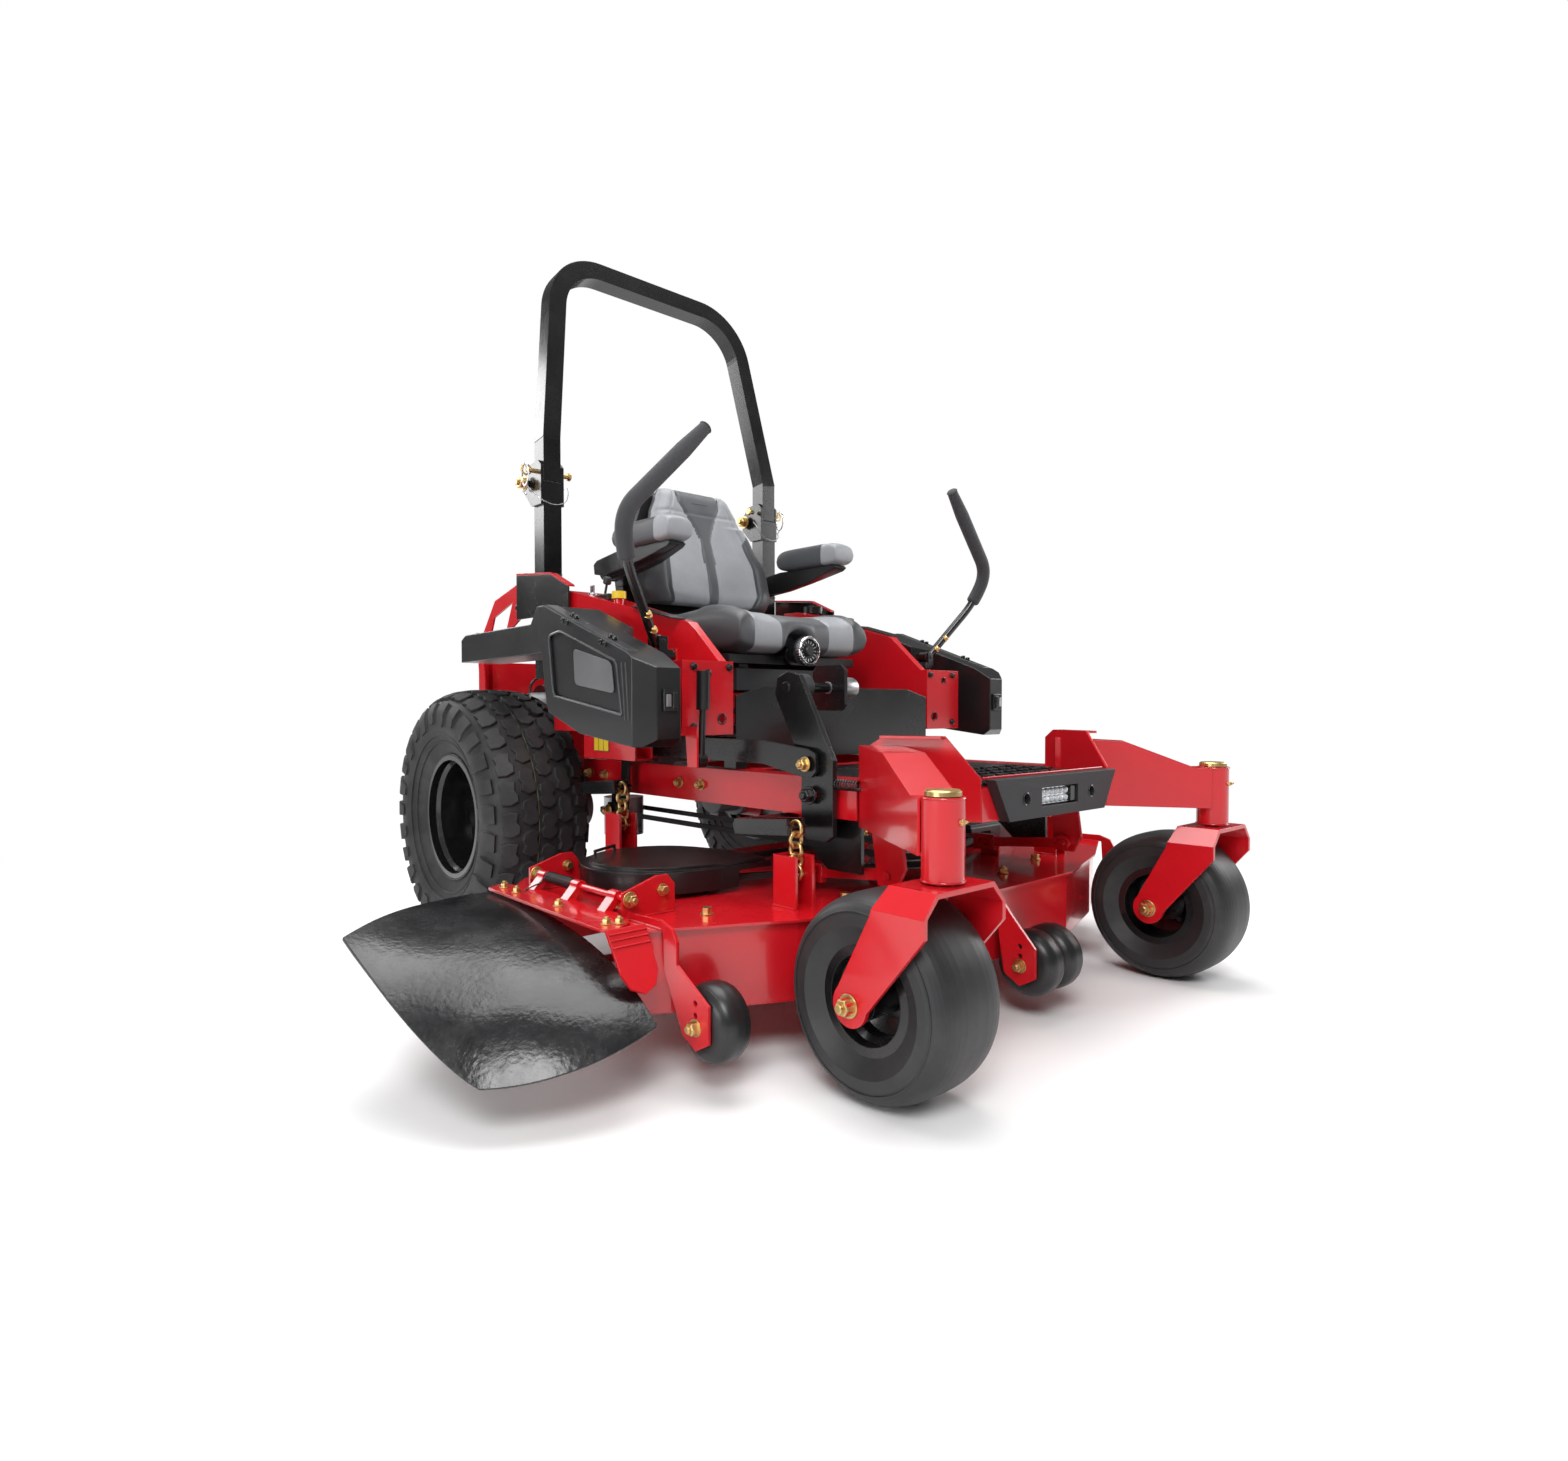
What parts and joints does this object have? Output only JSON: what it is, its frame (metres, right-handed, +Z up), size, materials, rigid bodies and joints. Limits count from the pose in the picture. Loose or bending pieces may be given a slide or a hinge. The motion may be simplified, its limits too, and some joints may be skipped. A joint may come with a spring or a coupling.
{
  "type": "zero turn mower",
  "caption": "Ride-on zero turn mower with side-discharge deck, suspended seat, twin control levers, caster front wheels and folding roll bar.",
  "frame": {"origin": "on the ground under the middle of the machine, deflector and rear guard included", "axes": "+X to the operator's left, +Y to the rear, +Z up"},
  "size_m": [1.908, 2.013, 1.8786],
  "materials": {
    "red_paint": "gloss powder coat",
    "black_paint": "satin powder coat",
    "black_plastic": "moulded, fine grain",
    "grey_plastic": "moulded, fine grain",
    "engine_metal": "cast, dull",
    "pulley_steel": "turned",
    "zinc": "yellow zinc plate",
    "belt_rubber": "matt",
    "tyre_rubber": "matt",
    "roller_plastic": "smooth",
    "seat_vinyl": "grained vinyl, two greys",
    "dial_metal": "bright rim, black face",
    "yellow_plastic": "moulded"
  },
  "bodies": {
    "chassis": {"main_frame": "red_paint", "front_frame": "red_paint", "foot_platform": "black_paint", "front_bumper": "grey_plastic", "consoles": "red_paint", "platform_panels": "black_paint", "fuel_tanks": "black_plastic", "rollbar_posts": "black_paint", "rear_guard": "red_paint", "engine_block": "engine_metal", "engine_covers": "black_plastic", "hydro_pump": "engine_metal", "pump_belt": "belt_rubber", "wheel_motors": "engine_metal"},
    "rear_wheel_right": {"rear_rim_right": "black_paint", "rear_tyre_right": "tyre_rubber"},
    "rear_wheel_left": {"rear_rim_left": "black_paint", "rear_tyre_left": "tyre_rubber"},
    "caster_right": {"caster_fork_right": "red_paint"},
    "caster_left": {"caster_fork_left": "red_paint"},
    "caster_wheel_right": {"caster_rim_right": "black_paint", "caster_tyre_right": "tyre_rubber"},
    "caster_wheel_left": {"caster_rim_left": "black_paint", "caster_tyre_left": "tyre_rubber"},
    "crankshaft": {"crank_pulley": "pulley_steel"},
    "pump_shaft": {"pump_pulley": "pulley_steel"},
    "deck": {"deck_shell": "red_paint", "belt_covers": "black_plastic", "deck_belt": "belt_rubber", "deck_hardware": "zinc"},
    "blade_right": {"spindle_right": "pulley_steel"},
    "blade_centre": {"spindle_centre": "pulley_steel"},
    "blade_left": {"spindle_left": "pulley_steel"},
    "scalp_roller_right": {"roller_right": "roller_plastic"},
    "scalp_roller_left": {"roller_left": "roller_plastic"},
    "scalp_roller_centre": {"roller_centre": "roller_plastic"},
    "chute": {"chute_plate": "red_paint", "chute_deflector": "belt_rubber"},
    "pedal": {"lift_pedal": "black_paint"},
    "front_lift": {"front_lift_arms": "black_paint"},
    "rear_lift": {"rear_lift_arms": "black_paint"},
    "link": {"lift_link": "black_paint"},
    "struts": {"push_struts": "red_paint"},
    "brake": {"parking_brake": "black_plastic"},
    "hub_right": {"lever_hub_right": "black_paint"},
    "hub_left": {"lever_hub_left": "black_paint"},
    "control_right": {"lever_right": "black_paint"},
    "control_left": {"lever_left": "black_paint"},
    "hoop": {"rollbar_hoop": "black_paint"},
    "pin_right": {"lock_pin_right": "zinc"},
    "pin_left": {"lock_pin_left": "zinc"},
    "suspension": {"suspension_top": "grey_plastic"},
    "seat": {"seat_shell": "black_plastic", "seat_cushion": "seat_vinyl", "seat_backrest": "seat_vinyl"},
    "arm_right": {"armrest_right": "grey_plastic"},
    "arm_left": {"armrest_left": "grey_plastic"},
    "dial": {"ride_knob": "dial_metal"},
    "cap": {"fuel_cap": "black_plastic"},
    "blade_switch": {"pto_knob": "yellow_plastic"}
  },
  "joints": [
    {"name": "rear_wheel_right_spin", "type": "hinge", "parent": "chassis", "child": "rear_wheel_right", "pos_m": [-0.34, 0.538, 0.33], "axis": [1, 0, 0], "continuous": true},
    {"name": "rear_wheel_left_spin", "type": "hinge", "parent": "chassis", "child": "rear_wheel_left", "pos_m": [0.692, 0.538, 0.33], "axis": [1, 0, 0], "continuous": true},
    {"name": "caster_right_swivel", "type": "hinge", "parent": "chassis", "child": "caster_right", "pos_m": [-0.311, -0.941, 0.42], "axis": [0, 0, 1], "continuous": true},
    {"name": "caster_wheel_right_spin", "type": "hinge", "parent": "caster_right", "child": "caster_wheel_right", "pos_m": [-0.311, -0.843, 0.165], "axis": [1, 0, 0], "continuous": true},
    {"name": "caster_left_swivel", "type": "hinge", "parent": "chassis", "child": "caster_left", "pos_m": [0.663, -0.941, 0.42], "axis": [0, 0, 1], "continuous": true},
    {"name": "caster_wheel_left_spin", "type": "hinge", "parent": "caster_left", "child": "caster_wheel_left", "pos_m": [0.663, -0.843, 0.165], "axis": [1, 0, 0], "continuous": true},
    {"name": "engine_spin", "type": "hinge", "parent": "chassis", "child": "crankshaft", "pos_m": [0.176, 0.688, 0.388], "axis": [0, 0, 1], "continuous": true},
    {"name": "pump_spin", "type": "hinge", "parent": "chassis", "child": "pump_shaft", "pos_m": [0.176, 0.418, 0.388], "axis": [0, 0, 1], "continuous": true},
    {"name": "pedal_turn", "type": "hinge", "parent": "chassis", "child": "pedal", "pos_m": [-0.181, -0.537, 0.447], "axis": [1, 0, 0], "range_deg": [-17, 10]},
    {"name": "front_lift_turn", "type": "hinge", "parent": "chassis", "child": "front_lift", "pos_m": [0.176, -0.422, 0.385], "axis": [-1, 0, 0], "range_deg": [-17.2, 10.2]},
    {"name": "rear_lift_turn", "type": "hinge", "parent": "chassis", "child": "rear_lift", "pos_m": [0.176, 0.158, 0.42], "axis": [-1, 0, 0], "range_deg": [-17.2, 10.2]},
    {"name": "link_slide", "type": "slide", "parent": "chassis", "child": "link", "axis": [0, -1, 0], "range_m": [-0.0181, 0.0107]},
    {"name": "strut_turn", "type": "hinge", "parent": "chassis", "child": "struts", "pos_m": [0.176, -0.684, 0.305], "axis": [1, 0, 0], "range_deg": [-12.1, 7.2]},
    {"name": "deck_rise", "type": "slide", "parent": "chassis", "child": "deck", "axis": [0, 0, 1], "range_m": [-0.0448, 0.0265]},
    {"name": "blade_right_spin", "type": "hinge", "parent": "deck", "child": "blade_right", "pos_m": [-0.319, -0.262, 0.2], "axis": [0, 0, 1], "continuous": true},
    {"name": "blade_centre_spin", "type": "hinge", "parent": "deck", "child": "blade_centre", "pos_m": [0.176, -0.452, 0.2], "axis": [0, 0, 1], "continuous": true},
    {"name": "blade_left_spin", "type": "hinge", "parent": "deck", "child": "blade_left", "pos_m": [0.671, -0.262, 0.2], "axis": [0, 0, 1], "continuous": true},
    {"name": "roller_right_spin", "type": "hinge", "parent": "deck", "child": "scalp_roller_right", "pos_m": [-0.508, -0.642, 0.112], "axis": [1, 0, 0], "continuous": true},
    {"name": "roller_left_spin", "type": "hinge", "parent": "deck", "child": "scalp_roller_left", "pos_m": [0.86, -0.642, 0.112], "axis": [1, 0, 0], "continuous": true},
    {"name": "roller_centre_spin", "type": "hinge", "parent": "deck", "child": "scalp_roller_centre", "pos_m": [0.176, -0.798, 0.112], "axis": [1, 0, 0], "continuous": true},
    {"name": "chute_fold", "type": "hinge", "parent": "deck", "child": "chute", "pos_m": [-0.546, -0.282, 0.284], "axis": [0, 1, 0], "range_deg": [0, 70]},
    {"name": "parking_brake_pull", "type": "hinge", "parent": "chassis", "child": "brake", "pos_m": [-0.264, -0.284, 0.505], "axis": [1, 0, 0], "range_deg": [0, 32]},
    {"name": "lever_right_drive", "type": "hinge", "parent": "chassis", "child": "hub_right", "pos_m": [-0.263, -0.156, 0.727], "axis": [1, 0, 0], "range_deg": [-14, 14]},
    {"name": "lever_right_swing", "type": "hinge", "parent": "hub_right", "child": "control_right", "pos_m": [-0.28, -0.156, 0.756], "axis": [0, 1, 0], "range_deg": [0, 24]},
    {"name": "lever_left_drive", "type": "hinge", "parent": "chassis", "child": "hub_left", "pos_m": [0.615, -0.156, 0.727], "axis": [1, 0, 0], "range_deg": [-14, 14]},
    {"name": "lever_left_swing", "type": "hinge", "parent": "hub_left", "child": "control_left", "pos_m": [0.632, -0.156, 0.756], "axis": [0, -1, 0], "range_deg": [0, 24]},
    {"name": "roll_bar_fold", "type": "hinge", "parent": "chassis", "child": "hoop", "pos_m": [0.176, 0.496, 1.213], "axis": [-1, 0, 0], "range_deg": [0, 110]},
    {"name": "lock_pin_right_pull", "type": "slide", "parent": "chassis", "child": "pin_right", "axis": [-1, 0, 0], "range_m": [0, 0.04]},
    {"name": "lock_pin_left_pull", "type": "slide", "parent": "chassis", "child": "pin_left", "axis": [1, 0, 0], "range_m": [0, 0.04]},
    {"name": "seat_float", "type": "slide", "parent": "chassis", "child": "suspension", "axis": [0, 0, 1], "range_m": [-0.025, 0.025], "stiffness_N_per_m": 30000},
    {"name": "seat_adjust", "type": "slide", "parent": "suspension", "child": "seat", "axis": [0, 1, 0], "range_m": [-0.05, 0.05]},
    {"name": "armrest_right_fold", "type": "hinge", "parent": "seat", "child": "arm_right", "pos_m": [-0.067, 0.328, 0.975], "axis": [-1, 0, 0], "range_deg": [0, 85]},
    {"name": "armrest_left_fold", "type": "hinge", "parent": "seat", "child": "arm_left", "pos_m": [0.419, 0.328, 0.975], "axis": [-1, 0, 0], "range_deg": [0, 85]},
    {"name": "ride_dial_turn", "type": "hinge", "parent": "seat", "child": "dial", "pos_m": [0.155, -0.162, 0.752], "axis": [0, 1, 0], "range_deg": [-180, 180]},
    {"name": "fuel_cap_turn", "type": "hinge", "parent": "chassis", "child": "cap", "pos_m": [0.588, 0.248, 0.9], "axis": [0, 0, 1], "range_deg": [0, 90]},
    {"name": "blade_switch_pull", "type": "slide", "parent": "chassis", "child": "blade_switch", "axis": [0, 0, 1], "range_m": [0, 0.02]}
  ],
  "couplings": [
    {"joint": "pump_spin", "follows": "engine_spin", "ratio": 1},
    {"joint": "blade_right_spin", "follows": "engine_spin", "ratio": 0.9769},
    {"joint": "blade_centre_spin", "follows": "engine_spin", "ratio": 0.9769},
    {"joint": "blade_left_spin", "follows": "engine_spin", "ratio": 0.9769},
    {"joint": "front_lift_turn", "follows": "pedal_turn", "ratio": 1},
    {"joint": "rear_lift_turn", "follows": "pedal_turn", "ratio": 1},
    {"joint": "link_slide", "follows": "pedal_turn", "m_per_rad": 0.06},
    {"joint": "strut_turn", "follows": "pedal_turn", "ratio": 0.7075},
    {"joint": "deck_rise", "follows": "pedal_turn", "m_per_rad": 0.15}
  ]
}
